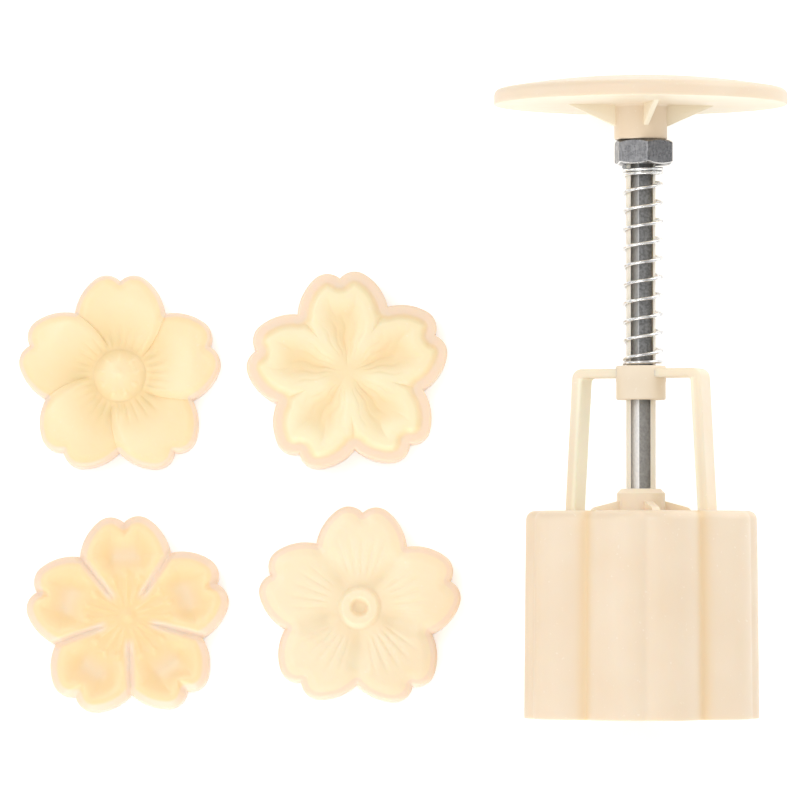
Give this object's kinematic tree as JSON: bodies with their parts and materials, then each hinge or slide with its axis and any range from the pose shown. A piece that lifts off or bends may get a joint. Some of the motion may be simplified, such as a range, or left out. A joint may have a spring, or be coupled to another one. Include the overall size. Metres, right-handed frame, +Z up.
{
  "type": "mooncake press",
  "caption": "Sprung hand press with a blossom-shaped barrel, a guided plunger and a domed palm handle, with loose bayonet stamps in blossom shapes.",
  "frame": {"origin": "on the table, under the middle of the whole set's box", "axes": "+X across the set from the stamps to the press, +Y along the lying press from the barrel's mouth to the palm handle, +Z up from the table"},
  "size_m": [0.1862, 0.1558, 0.0705],
  "materials": {
    "cream_plastic": "satin moulded",
    "stamp_plastic": "glossy moulded",
    "zinc_steel": "zinc plated",
    "nut_steel": "turned, scratched",
    "spring_steel": "drawn wire"
  },
  "bodies": {
    "barrel": {"barrel": "cream_plastic", "guide_yoke": "cream_plastic", "return_spring": "spring_steel"},
    "plunger": {"plunger_base": "cream_plastic", "base_screw": "zinc_steel", "plunger_stem": "cream_plastic", "steel_bar": "zinc_steel", "spacer_nut": "nut_steel", "palm_handle": "cream_plastic"},
    "pinwheel": {"pinwheel_stamp": "stamp_plastic"},
    "heart": {"heart_stamp": "stamp_plastic"},
    "stamen": {"stamen_stamp": "stamp_plastic"},
    "ring": {"ring_stamp": "stamp_plastic"}
  },
  "joints": [
    {"name": "plunger_press", "type": "slide", "parent": "barrel", "child": "plunger", "axis": [0, -0.9982, -0.0607], "range_m": [0, 0.036], "stiffness_N_per_m": 640, "springref_m": -0.0045, "deforming": ["return_spring"]},
    {"name": "pinwheel_lift", "type": "slide", "parent": "barrel", "child": "pinwheel", "axis": [0, 0, 1], "range_m": [0, 0.04]},
    {"name": "heart_lift", "type": "slide", "parent": "barrel", "child": "heart", "axis": [0, 0, 1], "range_m": [0, 0.04]},
    {"name": "stamen_lift", "type": "slide", "parent": "barrel", "child": "stamen", "axis": [0, 0, 1], "range_m": [0, 0.04]},
    {"name": "ring_lift", "type": "slide", "parent": "barrel", "child": "ring", "axis": [0, 0, 1], "range_m": [0, 0.04]}
  ]
}
